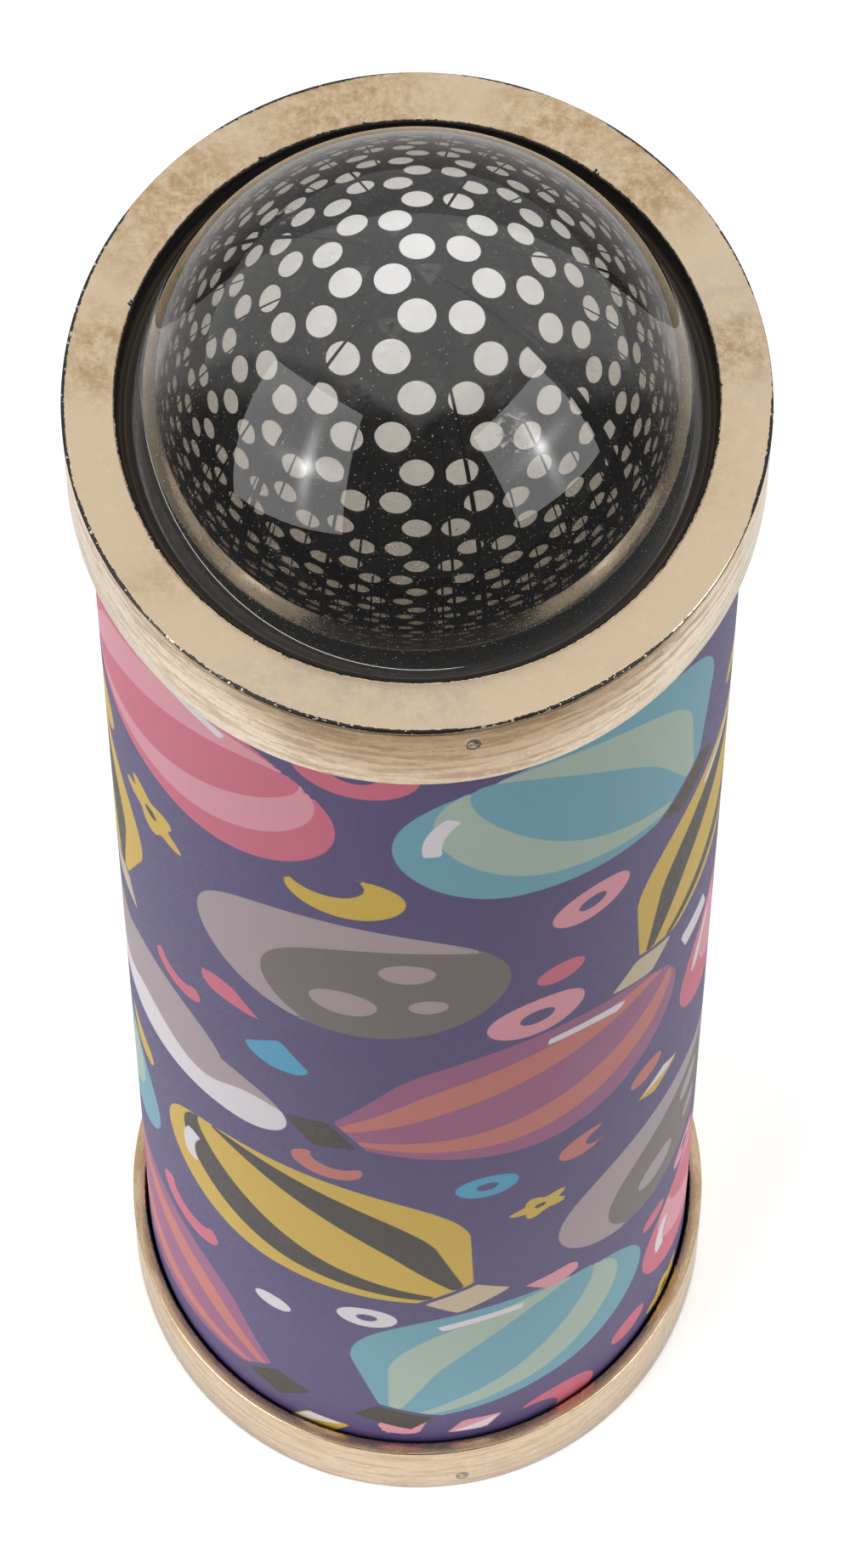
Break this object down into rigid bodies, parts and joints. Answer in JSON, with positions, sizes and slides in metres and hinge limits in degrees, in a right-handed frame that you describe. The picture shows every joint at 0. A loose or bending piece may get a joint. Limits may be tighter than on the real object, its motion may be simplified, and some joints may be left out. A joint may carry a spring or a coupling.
{
  "type": "toy kaleidoscope",
  "caption": "Round board tube kaleidoscope with foil-faced end caps, a clear ball lens standing out of the front cap, and a three-mirror pack behind it.",
  "frame": {"origin": "centre of the eyepiece cap's flat rim, on which the kaleidoscope stands", "axes": "+Z along the tube from the eyepiece to the lens; the first mirror faces the axis from -X"},
  "size_m": [0.045, 0.045, 0.1908],
  "materials": {
    "kraft_board": "spiral-wound kraft board",
    "printed_paper": "purple printed paper under a satin film",
    "foiled_plastic": "champagne-gold hot-stamped foil on black plastic, scuffed at the edges",
    "clear_plastic": "polished clear plastic",
    "black_board": "black board",
    "mirror_glass": "front-coated mirror strip",
    "black_card": "black folding card",
    "clear_tape": "yellowed clear packing tape",
    "black_foam": "black expanded foam strip",
    "black_plastic": "black moulded plastic"
  },
  "bodies": {
    "barrel": {"body_tube": "kraft_board", "printed_wrap": "printed_paper", "front_collar": "black_board", "mirror_a": "mirror_glass", "mirror_b": "mirror_glass", "mirror_c": "mirror_glass", "mirror_sleeve": "black_card", "sleeve_tape_rear": "clear_tape", "sleeve_tape_front": "clear_tape", "foam_packing_a": "black_foam", "foam_packing_b": "black_foam", "foam_packing_c": "black_foam", "eyepiece_cap": "foiled_plastic", "eye_disc": "black_plastic", "eye_window": "clear_plastic"},
    "turning_end": {"objective_cap": "foiled_plastic", "dome_lens": "clear_plastic"}
  },
  "joints": [
    {"name": "objective_turn", "type": "hinge", "parent": "barrel", "child": "turning_end", "pos_m": [0, 0, 0.171], "axis": [0, 0, 1], "continuous": true}
  ]
}
